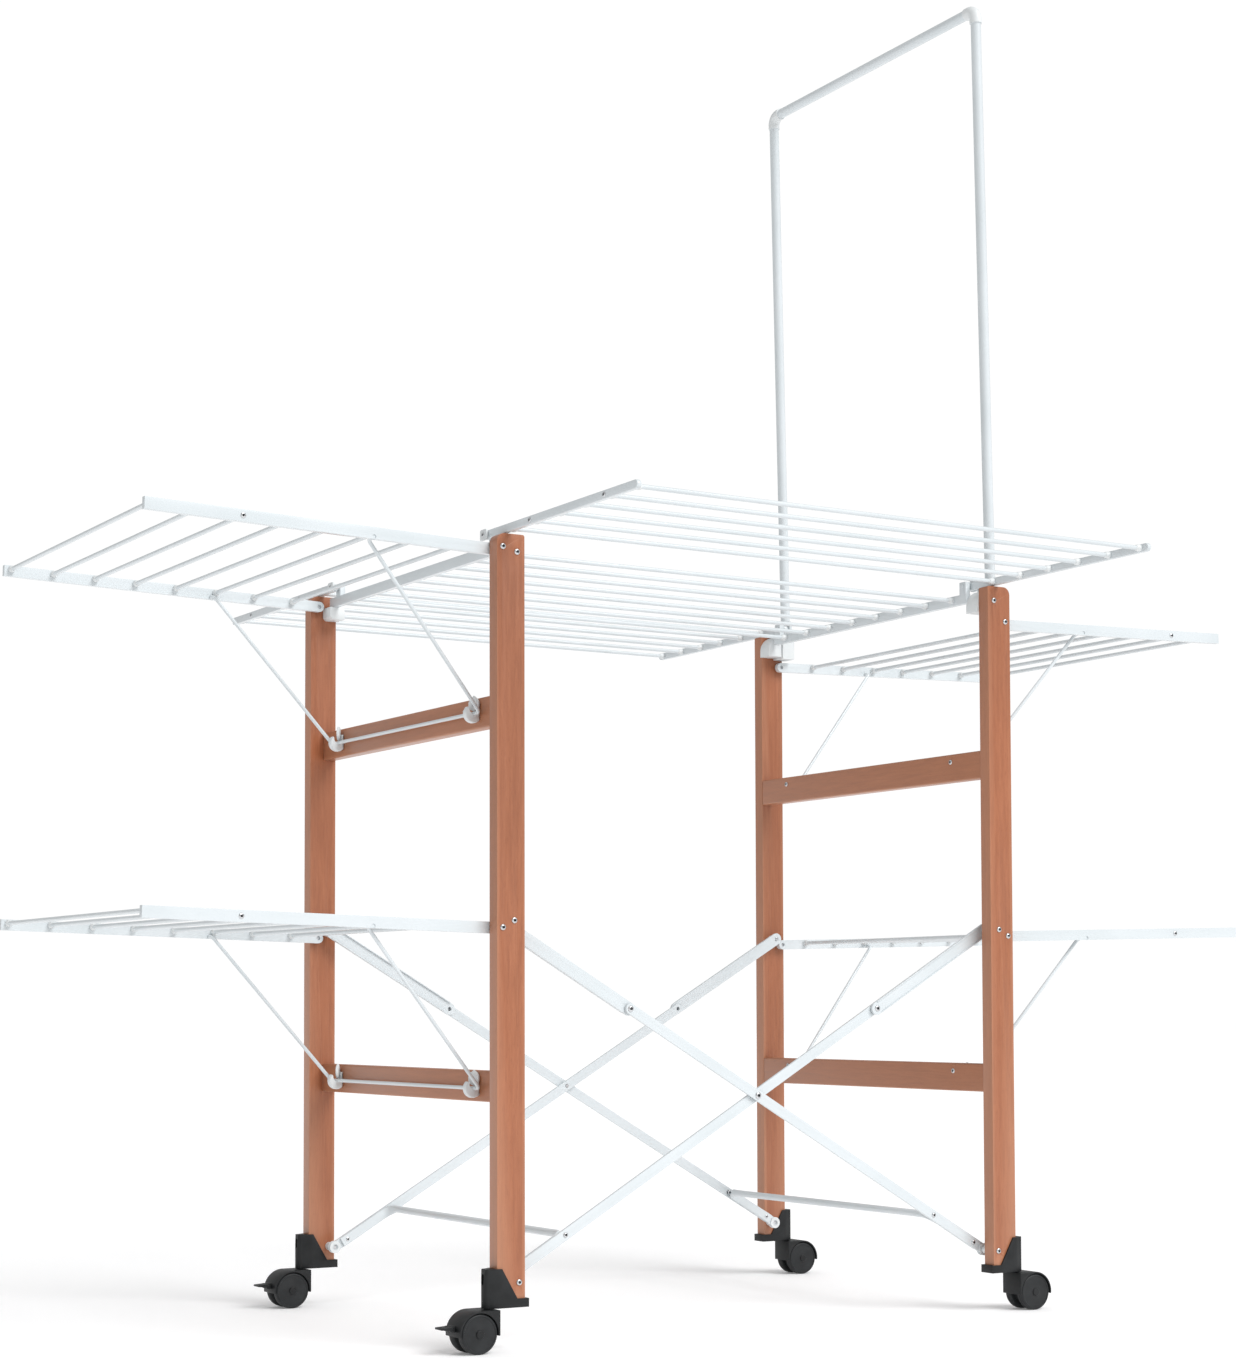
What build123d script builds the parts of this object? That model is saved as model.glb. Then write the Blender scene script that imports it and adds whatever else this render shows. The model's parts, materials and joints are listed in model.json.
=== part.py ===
from build123d import *
import math
import os

# Folding clothes drying rack on casters: two wooden end frames joined by folding braces,
# a centre grid with two flaps, four side wings on wire stays, and a hanger rail.
# Frame: +X runs from the left end frame to the right one, +Y from front to back, +Z up,
# the origin on the floor under the middle. Millimetres. The rest pose is fully open.

# ---------------------------------------------------------------- driving dimensions
POST_X = 401.0            # centre of a post, from the middle
POST_Y = 283.0
POST_W = 40.0             # along X
POST_T = 20.0             # along Y
POST_LOW = 63.0
POST_TOP = 1035.0
INNER_Y = POST_Y - POST_T / 2
OUTER_Y = POST_Y + POST_T / 2

RAIL_T = 20.0
RAIL_H = 40.0
RAIL_Z = {"upper_left": 814.0, "lower_left": 330.5, "upper_right": 779.5, "lower_right": 330.5}

WING_X = 412.5            # wing pivot
WING_Z = {"upper_left": 1018.0, "lower_left": 533.0, "upper_right": 985.0, "lower_right": 533.0}
WING_LENGTH = {"upper_left": 472.0, "lower_left": 472.0, "upper_right": 444.0, "lower_right": 472.0}
ROD_FIRST = {"upper_left": 44.0, "lower_left": 44.0, "upper_right": 62.0, "lower_right": 44.0}
ROD_PITCH = {"upper_left": 59.8, "lower_left": 59.8, "upper_right": 62.0, "lower_right": 59.8}
ROD_COUNT = {"upper_left": 8, "lower_left": 8, "upper_right": 7, "lower_right": 8}
WING_TILT = 1.5           # degrees above level
WING_BAR_H = 15.0
WING_BAR_T = 8.0
WING_BAR_Y = 262.0        # inner face of a wing bar
ROD_R = 3.0
ROD_UP = 2.0              # rods sit above the bar's middle line

STAY_R = 2.5
STAY_ALONG = 170.0        # stay pivot along the wing bar
STAY_DROP = 4.6           # and below its middle line
STAY_HOOK_X = 409.0       # stay's cross part in its hooks
STAY_BELOW = 205.0        # hook below the wing pivot
STAY_HALF = 224.0         # half width of the stay at the hooks
STAY_TOP_HALF = 251.0     # and at the wing bars
STAY_BEND = 8.0
CLIP_Y = 206.0
CLIP_W = 14.0

BRACE_LOW = (389.5, 86.0)      # lower pivot, X and Z
BRACE_TOP = (396.0, 542.0)     # upper pivot
LINK_LENGTH = 223.5
BRACE_W = 14.0
LINK_W = 18.0
BRACE_T = 4.0
LAYER_B = 256.5           # inner face of the outer brace layer
LAYER_A = 251.5           # inner face of the inner brace layer
CROSSBAR_ALONG = 104.0    # crossbar from the lower pivot
CROSSBAR_R = 5.0

GRID_X = {"left": 392.0, "right": 388.0}      # middle of a grid side bar
GRID_BAR_T = 8.0
GRID_BAR_H = 14.0
GRID_Z = 1024.0
GRID_LEFT_HALF = 262.0
GRID_RIGHT_HALF = 241.0
GRID_RODS = [-210, -150, -90, -30, 30, 90, 150, 210]
FLAP_X = {"left": 402.5, "right": 397.5}      # middle of a flap side bar
FLAP_BAR_T = 6.5
FLAP_Y = 233.0            # flap hinge
FLAP_Z = 1042.5
FLAP_BAR_H = 11.0
FLAP_LENGTH = 366.0
FLAP_FIRST = 57.0
FLAP_PITCH = 60.0
FLAP_COUNT = 6
SWING = (407.0, 1050.0)   # grid swing axis, X and Z

TUBE_R = 7.5              # hanger tube
TUBE_Y = 256.0
TUBE_LOW = (417.5, 1004.0)
TUBE_TOP = (399.0, 1891.0)

STEM_X = 430.0            # caster swivel
WHEEL_X = 450.0
WHEEL_R = 25.5
WHEEL_W = 12.0
WHEEL_IN = 6.7            # inner face of a wheel, from the caster's middle
HOOD_R = 28.5
HOOD_HALF = 19.5          # half width of the hood over both wheels
PEDAL = (483.5, 32.5)     # brake pedal pivot

SHOE_END = 376.5          # inner end of the shoe under a post
SHOE_LOW = 55.0
SHOE_RIM = 66.0           # top of the rim around the post's end
CHEEK_T = 2.5
CHEEK_FOOT = 393.0        # where the cheek's slope meets the rim
CHEEK_HEAD = 415.0        # and where it meets the bracket's top
BRACKET_TOP = 104.0
COLUMN_R = 7.5            # the column around the caster's stem
STEM_R = 4.0
STEM_TOP = 76.0
SCREW_POCKET = (431.0, 84.0, 98.0, 6.0)   # depth plane, low end, high end, width
COLUMN_WAIST = 8.0        # from the stem's axis in to where the cheeks begin
COLUMN_CUT = (2.0, 22.0)  # the column's sloping outer top edge, in and down
OVERCUT = 10.0            # a cut that surely leaves the solid

BLOCK_BOLT = {"left": (392.0, 1012.5), "right": (392.0, 1014.5)}   # X and Z of the blocks' bolts
BLOCK_BOLT_IN = 6.0       # how far they reach into a block

BOLT_R = 3.0
HOLE_R = 3.08             # running hole on a bolt
HEAD_R = 4.0
HEAD_T = 1.6

SIDES = {"left": -1, "right": 1}
FACES = {"front": -1, "back": 1}

os.makedirs("parts", exist_ok=True)


def save(builder, name):
    """Label one sub-part and write it."""
    builder.part.label = name
    export_step(builder.part, f"parts/{name}.step")


def side_plane(y, sign=1):
    """A plane across Y whose first axis is X (or -X) and whose second is up."""
    return Plane(origin=(0, y, 0), x_dir=(sign, 0, 0), z_dir=(0, -sign, 0))


def wing_plane(key):
    """A wing's own plane: first axis out along the wing, second axis up, at its pivot."""
    s = -1 if key.endswith("left") else 1
    t = math.radians(WING_TILT)
    return Plane(origin=(s * WING_X, 0, WING_Z[key]),
                 x_dir=(s * math.cos(t), 0, math.sin(t)), z_dir=(0, -s, 0))


def on_side(y, x, z):
    """A point on the plane across Y at y."""
    return Plane(origin=(x, y, z), x_dir=(1, 0, 0), z_dir=(0, -1, 0))


# ---------------------------------------------------------------- where the bolts go
def bolts_of(side):
    """Each bolt of one end frame: X, Z, and how far in its shank reaches, per post."""
    s = SIDES[side]
    link_layer = LAYER_A if side == "left" else LAYER_B
    brace_layer = LAYER_A if side == "left" else LAYER_B
    return [
        (s * WING_X, WING_Z[f"upper_{side}"], WING_BAR_Y),
        (s * WING_X, WING_Z[f"lower_{side}"], WING_BAR_Y),
        (s * BRACE_TOP[0], BRACE_TOP[1], link_layer),
        (s * BRACE_LOW[0], BRACE_LOW[1], brace_layer),
        (s * BLOCK_BOLT[side][0], BLOCK_BOLT[side][1], INNER_Y - BLOCK_BOLT_IN),
    ]


# ---------------------------------------------------------------- end frames
for side, s in SIDES.items():
    for face, f in FACES.items():
        with BuildPart() as post:
            with BuildSketch(Plane.XY.offset(POST_LOW)):
                with Locations((s * POST_X, f * POST_Y)):
                    Rectangle(POST_W, POST_T)
            extrude(amount=POST_TOP - POST_LOW)
            corners = post.faces().sort_by(Axis.Z)[-1].edges().filter_by(Axis.Y).sort_by(Axis.X)
            fillet(corners[-1] if s > 0 else corners[0], radius=11)
            corners = post.faces().sort_by(Axis.Z)[-1].edges().filter_by(Axis.Y).sort_by(Axis.X)
            fillet(corners[0] if s > 0 else corners[-1], radius=3)
            for x, z, _ in bolts_of(side):
                with BuildSketch(on_side(f * (OUTER_Y + 1), x, z)):
                    Circle(BOLT_R + 0.05)
                extrude(amount=f * (POST_T + 2), mode=Mode.SUBTRACT)
        save(post, f"post_{face}_{side}")

    for level in ("upper", "lower"):
        with BuildPart() as rail:
            middle = s * (POST_X - RAIL_T / 2)
            with BuildSketch(Plane.XZ.offset(-INNER_Y)):
                with Locations((middle, RAIL_Z[f"{level}_{side}"])):
                    RectangleRounded(RAIL_T, RAIL_H, 2.5)
            extrude(amount=2 * INNER_Y)
        save(rail, f"rail_{level}_{side}")

    with BuildPart() as bolts:
        for f in FACES.values():
            for x, z, reach in bolts_of(side):
                length = OUTER_Y - reach
                with BuildSketch(on_side(f * OUTER_Y, x, z)):
                    Circle(BOLT_R)
                extrude(amount=f * length)
                with BuildSketch(on_side(f * OUTER_Y, x, z)):
                    Circle(HEAD_R)
                extrude(amount=-f * HEAD_T)
    save(bolts, f"frame_bolts_{side}")

# ---------------------------------------------------------------- blocks on the end frames
def bolt_bore(side, f):
    """The blind hole of a block's bolt, cut from the part being built."""
    x, z = BLOCK_BOLT[side]
    with BuildSketch(on_side(f * INNER_Y, SIDES[side] * x, z)) as mouth:
        Circle(BOLT_R + 0.05)
    extrude(mouth.sketch, amount=f * (BLOCK_BOLT_IN + 0.5), mode=Mode.SUBTRACT)


CATCH_TOP = GRID_Z - GRID_BAR_H / 2
CATCH_HIGH = 18.0
CATCH_DEPTH = 26.0
COVER_TOP = 1033.0
COVER_HIGH = 33.0
COVER_DEPTH = 25.0
COVER_OUT, COVER_IN = 403.0, 378.0
COVER_LIP = 10.0          # upright part of the cover's inner edge
COVER_CREST = 400.0       # where the round top meets the flat
COVER_ROUND = 24.0
CATCH_OUT, CATCH_IN = -402.0, -379.0
CATCH_NOSE = 4.0          # cut corner at the catch's outer foot

with BuildPart() as catches:
    for f in FACES.values():
        with BuildSketch(side_plane(f * INNER_Y)):
            with BuildLine():
                foot = CATCH_TOP - CATCH_HIGH
                Polyline((CATCH_OUT, foot + CATCH_NOSE), (CATCH_OUT, CATCH_TOP), (CATCH_IN, CATCH_TOP),
                         (CATCH_IN, foot), (CATCH_OUT + CATCH_NOSE, foot), close=True)
            make_face()
        extrude(amount=f * CATCH_DEPTH)
        bolt_bore("left", f)
save(catches, "grid_catches")

with BuildPart() as covers:
    for f in FACES.values():
        with BuildSketch(side_plane(f * INNER_Y)):
            with BuildLine():
                foot = COVER_TOP - COVER_HIGH
                Line((COVER_OUT, foot), (COVER_IN, foot))
                Line((COVER_IN, foot), (COVER_IN, foot + COVER_LIP))
                RadiusArc((COVER_IN, foot + COVER_LIP), (COVER_CREST, COVER_TOP), COVER_ROUND)
                Line((COVER_CREST, COVER_TOP), (COVER_OUT, COVER_TOP))
                Line((COVER_OUT, COVER_TOP), (COVER_OUT, foot))
            make_face()
        extrude(amount=f * COVER_DEPTH)
        bolt_bore("right", f)
save(covers, "grid_blocks_right")

tube_lean = math.atan2(TUBE_LOW[0] - TUBE_TOP[0], TUBE_TOP[1] - TUBE_LOW[1])
tube_dir = (-math.sin(tube_lean), 0, math.cos(tube_lean))
SOCKET_LOW = 997.0
SOCKET_TOP = 1034.5
SOCKET_X = (404.0, 427.0)
SOCKET_Y = 246.0          # inner face of a socket
EAR_Y = (243.0, 247.0)
EAR_W = 9.0
EAR_LOW = 1027.5
EAR_TOP = 1054.6
BORE_LONG = 60.0          # long enough to leave the socket's top
BORE_FLOOR = 0.3          # the bore's floor below the tube's end

with BuildPart() as sockets:
    for f in FACES.values():
        with BuildSketch(Plane.XY.offset(SOCKET_LOW)):
            with Locations((sum(SOCKET_X) / 2, f * (INNER_Y + SOCKET_Y) / 2)):
                Rectangle(SOCKET_X[1] - SOCKET_X[0], INNER_Y - SOCKET_Y)
        extrude(amount=SOCKET_TOP - SOCKET_LOW)
        with BuildSketch(on_side(f * EAR_Y[1], SWING[0], 0)):
            with Locations((1, (EAR_LOW + EAR_TOP) / 2)):
                Rectangle(EAR_W, EAR_TOP - EAR_LOW)
            with Locations((0, SWING[1])):
                Circle(BOLT_R + 0.08, mode=Mode.SUBTRACT)
        extrude(amount=f * (EAR_Y[1] - EAR_Y[0]))
        bore = Plane(origin=(TUBE_LOW[0], f * TUBE_Y, TUBE_LOW[1]), x_dir=(0, 1, 0), z_dir=tube_dir)
        with BuildSketch(bore.offset(-BORE_FLOOR)):
            Circle(TUBE_R + 0.1)
        extrude(amount=BORE_LONG, mode=Mode.SUBTRACT)
save(sockets, "hanger_sockets")


# ---------------------------------------------------------------- stay hooks on the rails
def hook_outline():
    """One hook's side outline: X is out from the rail's face, Y is up from the wire."""
    return [(0, -13), (3, -13), (6.6, -9), (6.0, -4.5), (4.9, -1.5), (4.9, 1), (6, 3.1),
            (9.5, 3.6), (11.6, 2.4), (12.1, 0), (14.4, 0.6), (13.6, 5.5), (9, 8.5), (4, 9),
            (2.6, 16), (0, 16)]


for side, s in SIDES.items():
    with BuildPart() as hooks:
        for level in ("upper", "lower"):
            key = f"{level}_{side}"
            centre_z = WING_Z[key] - STAY_BELOW
            for f in FACES.values():
                flat = Plane(origin=(s * POST_X, f * CLIP_Y, centre_z),
                             x_dir=(s, 0, 0), z_dir=(0, -s, 0))
                with BuildSketch(flat):
                    with BuildLine():
                        Polyline(*hook_outline(), close=True)
                    make_face()
                extrude(amount=CLIP_W / 2, both=True)
    save(hooks, f"stay_hooks_{side}")

# ---------------------------------------------------------------- caster brackets and casters
def make_bracket(s, f):
    """A shoe and two cheeks round the post's end, and a column round the caster's stem."""
    reach = POST_T / 2 + CHEEK_T
    y = f * POST_Y
    with BuildPart() as bracket:
        with BuildSketch(Plane.XY.offset(SHOE_LOW)):
            with BuildLine():
                Polyline((s * SHOE_END, y - reach), (s * (STEM_X - COLUMN_WAIST), y - reach),
                         (s * STEM_X, y - COLUMN_R), (s * STEM_X, y + COLUMN_R),
                         (s * (STEM_X - COLUMN_WAIST), y + reach), (s * SHOE_END, y + reach), close=True)
            make_face()
            with Locations((s * STEM_X, f * POST_Y)):
                Circle(COLUMN_R)
        extrude(amount=BRACKET_TOP - SHOE_LOW)
        with BuildSketch(side_plane(f * POST_Y, s)):
            with BuildLine():
                Polyline((SHOE_END, SHOE_LOW), (STEM_X + COLUMN_R, SHOE_LOW),
                         (STEM_X + COLUMN_R, BRACKET_TOP - COLUMN_CUT[1]),
                         (STEM_X + COLUMN_R - COLUMN_CUT[0], BRACKET_TOP),
                         (CHEEK_HEAD, BRACKET_TOP), (CHEEK_FOOT, SHOE_RIM), (SHOE_END, SHOE_RIM), close=True)
            make_face()
        extrude(amount=reach, both=True, mode=Mode.INTERSECT)
        with BuildSketch(Plane.XY.offset(POST_LOW)):
            with Locations((s * POST_X, f * POST_Y)):
                Rectangle(POST_W, POST_T)
        extrude(amount=BRACKET_TOP - POST_LOW, mode=Mode.SUBTRACT)
        with BuildSketch(Plane.XY.offset(SHOE_LOW)):
            with Locations((s * STEM_X, f * POST_Y)):
                Circle(STEM_R + 0.08)
        extrude(amount=STEM_TOP + 1 - SHOE_LOW, mode=Mode.SUBTRACT)
        deep, low, high, width = SCREW_POCKET
        with BuildSketch(Plane.YZ.offset(s * deep)):
            with Locations((f * POST_Y, (low + high) / 2)):
                SlotOverall(high - low, width, rotation=90)
        extrude(amount=s * OVERCUT, mode=Mode.SUBTRACT)
    return bracket


def make_hood(s, f):
    """The caster's fork: a fender over both wheels, a core between them, the axle and the stem."""
    skirt = 3.0               # how far the fender reaches below the axle
    core_half = WHEEL_IN - 0.7
    with BuildPart() as hood:
        flat = Plane(origin=(s * WHEEL_X, f * POST_Y, WHEEL_R), x_dir=(s, 0, 0), z_dir=(0, -s, 0))
        with BuildSketch(flat):
            Circle(HOOD_R)
            with Locations((-HOOD_R / 2, HOOD_R / 2)):
                Rectangle(HOOD_R, HOOD_R)
            with Locations((0, -skirt - HOOD_R)):
                Rectangle(3 * HOOD_R, 2 * HOOD_R, mode=Mode.SUBTRACT)
            Circle(WHEEL_R + 0.8, mode=Mode.SUBTRACT)
        extrude(amount=HOOD_HALF, both=True)
        with BuildSketch(flat):
            Circle(WHEEL_R + 1.2)
            with Locations((0, -skirt - HOOD_R)):
                Rectangle(3 * HOOD_R, 2 * HOOD_R, mode=Mode.SUBTRACT)
            Circle(WHEEL_R - 6)
        extrude(amount=core_half, both=True)
        with BuildSketch(flat):
            Circle(BOLT_R)
        extrude(amount=WHEEL_IN + WHEEL_W + 1.3, both=True)
        with BuildSketch(Plane.XY.offset(WHEEL_R + HOOD_R - 4)):
            with Locations((s * STEM_X, f * POST_Y)):
                Circle(STEM_R)
        extrude(amount=STEM_TOP - WHEEL_R - HOOD_R + 4)
        if s < 0:
            with BuildSketch(side_plane(f * POST_Y, s)):
                with Locations(PEDAL):
                    Circle(4)
                with Locations((PEDAL[0] - 4.5, PEDAL[1])):
                    Rectangle(9, 8)
            extrude(amount=3.5, both=True)
            with BuildSketch(side_plane(f * POST_Y, s)):
                with Locations(PEDAL):
                    Circle(2)
            extrude(amount=9, both=True)
    return hood


def make_wheels(s, f):
    """The two wheels of one caster, on one axle."""
    with BuildPart() as wheels:
        for way in (-1, 1):
            flat = Plane(origin=(s * WHEEL_X, f * POST_Y + way * WHEEL_IN, WHEEL_R),
                         x_dir=(1, 0, 0), z_dir=(0, way, 0))
            with BuildSketch(flat):
                Circle(WHEEL_R)
                Circle(HOLE_R, mode=Mode.SUBTRACT)
            extrude(amount=WHEEL_W)
        rims = wheels.edges().filter_by(GeomType.CIRCLE).filter_by(
            lambda e: abs(e.radius - WHEEL_R) < 0.01)
        fillet(rims, radius=2.5)
    return wheels


def make_pedal(f):
    """A braked caster's thin foot pedal, forked round its pivot block."""
    x, z = PEDAL
    with BuildPart() as pedal:
        with BuildSketch(side_plane(f * POST_Y, -1)):
            with Locations((x, z)):
                Circle(3.6)
            with BuildLine():
                Polyline((x, z - 1.5), (x + 15.5, z), (x + 15.5, z + 2.4), (x, z + 3.3), close=True)
            make_face()
            with Locations((x, z)):
                Circle(2.08, mode=Mode.SUBTRACT)
        extrude(amount=9, both=True)
        with BuildSketch(side_plane(f * POST_Y, -1)):
            with Locations((x - 2, z)):
                Rectangle(16, 14)
        extrude(amount=4, both=True, mode=Mode.SUBTRACT)
    return pedal


for side, s in SIDES.items():
    for face, f in FACES.items():
        save(make_bracket(s, f), f"caster_bracket_{face}_{side}")
        save(make_hood(s, f), f"caster_hood_{face}_{side}")
        save(make_wheels(s, f), f"caster_wheels_{face}_{side}")

for face, f in FACES.items():
    save(make_pedal(f), f"brake_pedal_{face}")


# ---------------------------------------------------------------- folding braces
def flat_bar(a, b, width):
    """A bar outline with round ends from a to b, in the plane's own axes."""
    length = math.dist(a, b)
    angle = math.degrees(math.atan2(b[1] - a[1], b[0] - a[0]))
    middle = ((a[0] + b[0]) / 2, (a[1] + b[1]) / 2)
    with Locations(Location((middle[0], middle[1], 0), (0, 0, angle))):
        SlotCenterToCenter(length, width)


span = (BRACE_LOW[0] + BRACE_TOP[0], BRACE_TOP[1] - BRACE_LOW[1])
full = math.hypot(*span)
unit = (span[0] / full, span[1] / full)
JOINT_ALONG = full - LINK_LENGTH


def along(s, distance):
    """A point on the long brace that starts at side s, by its distance from the pivot."""
    return (s * (BRACE_LOW[0] - unit[0] * distance), BRACE_LOW[1] + unit[1] * distance)


CROSS_ALONG = BRACE_LOW[0] / unit[0]

for side, s in SIDES.items():
    layer = LAYER_A if side == "left" else LAYER_B
    letter = "a" if side == "left" else "b"
    low = along(s, 0)
    joint = along(s, JOINT_ALONG)
    cross = along(s, CROSS_ALONG)
    for face, f in FACES.items():
        with BuildPart() as brace:
            with BuildSketch(side_plane(f * layer)):
                flat_bar(low, joint, BRACE_W)
                with Locations(low):
                    Circle(HOLE_R, mode=Mode.SUBTRACT)
                with Locations(joint):
                    Circle(BOLT_R, mode=Mode.SUBTRACT)
                with Locations(cross):
                    Circle(BOLT_R if letter == "a" else HOLE_R, mode=Mode.SUBTRACT)
                with Locations(along(s, CROSSBAR_ALONG)):
                    Circle(BOLT_R, mode=Mode.SUBTRACT)
            extrude(amount=-f * BRACE_T)
        save(brace, f"brace_{letter}_{face}")

    with BuildPart() as links:
        link_layer = LAYER_A if side == "left" else LAYER_B
        for f in FACES.values():
            upper = (s * BRACE_TOP[0], BRACE_TOP[1])
            other = along(-s, JOINT_ALONG)
            with BuildSketch(side_plane(f * link_layer)):
                flat_bar(upper, other, LINK_W)
                with Locations(upper):
                    Circle(HOLE_R, mode=Mode.SUBTRACT)
                with Locations(other):
                    Circle(BOLT_R, mode=Mode.SUBTRACT)
            extrude(amount=-f * BRACE_T)
    save(links, f"brace_links_{side}")

    with BuildPart() as crossbar:
        near = along(s, 22)
        far = along(s, CROSSBAR_ALONG)
        y = LAYER_A - CROSSBAR_R
        with BuildLine():
            FilletPolyline((near[0], -y, near[1]), (far[0], -y, far[1]),
                           (far[0], y, far[1]), (near[0], y, near[1]), radius=14)
        start = Plane(origin=(near[0], -y, near[1]), x_dir=(0, 1, 0),
                      z_dir=(far[0] - near[0], 0, far[1] - near[1]))
        with BuildSketch(start):
            Circle(CROSSBAR_R)
        sweep()
    save(crossbar, f"crossbar_{side}")

with BuildPart() as rivets_a:
    for f in FACES.values():
        spots = [(along(-1, JOINT_ALONG), LAYER_A, LAYER_A + BRACE_T, -1),
                 (along(-1, CROSS_ALONG), LAYER_A, LAYER_B + BRACE_T, 1)]
        for (x, z), low_y, high_y, way in spots:
            with BuildSketch(on_side(f * low_y, x, z)):
                Circle(BOLT_R)
            extrude(amount=-f * (high_y - low_y))
            head = high_y if way > 0 else low_y
            with BuildSketch(on_side(f * head, x, z)):
                Circle(HEAD_R)
            extrude(amount=-f * way * HEAD_T)
save(rivets_a, "brace_rivets_a")

with BuildPart() as rivets_b:
    for f in FACES.values():
        x, z = along(1, JOINT_ALONG)
        with BuildSketch(on_side(f * LAYER_B, x, z)):
            Circle(BOLT_R)
        extrude(amount=-f * BRACE_T)
        with BuildSketch(on_side(f * (LAYER_B + BRACE_T), x, z)):
            Circle(HEAD_R)
        extrude(amount=-f * HEAD_T)
save(rivets_b, "brace_rivets_b")

# ---------------------------------------------------------------- centre grid
TAB_W = 14.0
TAB_TOP = 1049.0
GRID_TOP = GRID_Z + GRID_BAR_H / 2

with BuildPart() as grid_bars:
    for side, s in SIDES.items():
        half = GRID_LEFT_HALF if side == "left" else GRID_RIGHT_HALF
        with BuildSketch(Plane.YZ.offset(s * GRID_X[side] - GRID_BAR_T / 2)):
            with Locations((0, GRID_Z)):
                Rectangle(2 * half, GRID_BAR_H)
            for f in FACES.values():
                with Locations((f * FLAP_Y, (GRID_TOP + TAB_TOP) / 2 - 1)):
                    Rectangle(TAB_W, TAB_TOP - GRID_TOP + 2)
            for f in FACES.values():
                with Locations((f * FLAP_Y, FLAP_Z)):
                    Circle(BOLT_R + 0.02, mode=Mode.SUBTRACT)
        extrude(amount=GRID_BAR_T)
save(grid_bars, "grid_bars")

with BuildPart() as grid_rods:
    with BuildSketch(Plane.YZ.offset(GRID_BAR_T / 2 - GRID_X["left"])):
        with Locations(*[(y, GRID_Z + 1) for y in GRID_RODS]):
            Circle(ROD_R)
    extrude(amount=sum(GRID_X.values()) - GRID_BAR_T)
save(grid_rods, "grid_rods")

PLATE_X = 403.5           # inner face of the hinge plates at the right end
PLATE_T = 4.5

with BuildPart() as grid_pins:
    for side, s in SIDES.items():
        inner_x = GRID_X[side] - GRID_BAR_T / 2 - 1.5
        outer_x = PLATE_X if side == "right" else FLAP_X[side] + FLAP_BAR_T / 2 + 2
        for f in FACES.values():
            with BuildSketch(Plane.YZ.offset(s * inner_x)):
                with Locations((f * FLAP_Y, FLAP_Z)):
                    Circle(BOLT_R)
            extrude(amount=s * (outer_x - inner_x))
            if side == "right":
                with BuildSketch(Plane.YZ.offset(PLATE_X)):
                    with Locations((f * FLAP_Y, (FLAP_Z + SWING[1]) / 2)):
                        RectangleRounded(TAB_W, 19, 4)
                extrude(amount=PLATE_T)
                with BuildSketch(on_side(f * EAR_Y[1], *SWING)):
                    Circle(BOLT_R)
                extrude(amount=f * (EAR_Y[1] - FLAP_Y))
save(grid_pins, "grid_hinge_pins")

# ---------------------------------------------------------------- flaps
for face, f in FACES.items():
    with BuildPart() as bars:
        for side, s in SIDES.items():
            with BuildSketch(Plane.YZ.offset(s * FLAP_X[side] - FLAP_BAR_T / 2)):
                with Locations((f * (FLAP_Y + FLAP_LENGTH / 2), FLAP_Z)):
                    SlotOverall(FLAP_LENGTH + FLAP_BAR_H, FLAP_BAR_H)
                with Locations((f * FLAP_Y, FLAP_Z)):
                    Circle(HOLE_R, mode=Mode.SUBTRACT)
            extrude(amount=FLAP_BAR_T)
    save(bars, f"flap_bars_{face}")

    with BuildPart() as rods:
        with BuildSketch(Plane.YZ.offset(FLAP_BAR_T / 2 - FLAP_X["left"])):
            for n in range(FLAP_COUNT):
                with Locations((f * (FLAP_Y + FLAP_FIRST + n * FLAP_PITCH), FLAP_Z)):
                    Circle(ROD_R)
        extrude(amount=sum(FLAP_X.values()) - FLAP_BAR_T)
    save(rods, f"flap_rods_{face}")

# ---------------------------------------------------------------- wings and stays
for key in WING_Z:
    s = -1 if key.endswith("left") else 1
    plane = wing_plane(key)
    length = WING_LENGTH[key]
    with BuildPart() as bars:
        for way in (-1, 1):
            with BuildSketch(plane.offset(way * WING_BAR_Y)):
                with Locations(((length - 10) / 2, 0)):
                    SlotOverall(length + 5, WING_BAR_H)
                with Locations((length - 10, 0)):
                    Rectangle(20, WING_BAR_H)
                Circle(HOLE_R, mode=Mode.SUBTRACT)
                with Locations((STAY_ALONG, -STAY_DROP)):
                    Circle(STAY_R + 0.08, mode=Mode.SUBTRACT)
            extrude(amount=way * WING_BAR_T)
    save(bars, f"wing_bars_{key}")

    with BuildPart() as rods:
        with BuildSketch(plane.offset(-WING_BAR_Y)):
            for n in range(ROD_COUNT[key]):
                with Locations((ROD_FIRST[key] + n * ROD_PITCH[key], ROD_UP)):
                    Circle(ROD_R)
        extrude(amount=2 * WING_BAR_Y)
    save(rods, f"wing_rods_{key}")

    with BuildPart() as stay:
        top = plane.from_local_coords((STAY_ALONG, -STAY_DROP, 0))
        hook_z = WING_Z[key] - STAY_BELOW
        pin_end = WING_BAR_Y + WING_BAR_T - 1
        with BuildLine():
            FilletPolyline((top.X, -pin_end, top.Z), (top.X, -STAY_TOP_HALF, top.Z),
                           (s * STAY_HOOK_X, -STAY_HALF, hook_z), (s * STAY_HOOK_X, STAY_HALF, hook_z),
                           (top.X, STAY_TOP_HALF, top.Z), (top.X, pin_end, top.Z), radius=STAY_BEND)
        with BuildSketch(Plane(origin=(top.X, -pin_end, top.Z), x_dir=(1, 0, 0), z_dir=(0, 1, 0))):
            Circle(STAY_R)
        sweep()
    save(stay, f"stay_{key}")

# ---------------------------------------------------------------- hanger rail
TUBE_WALL = 1.2
ELBOW_LEG = 20.0

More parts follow.
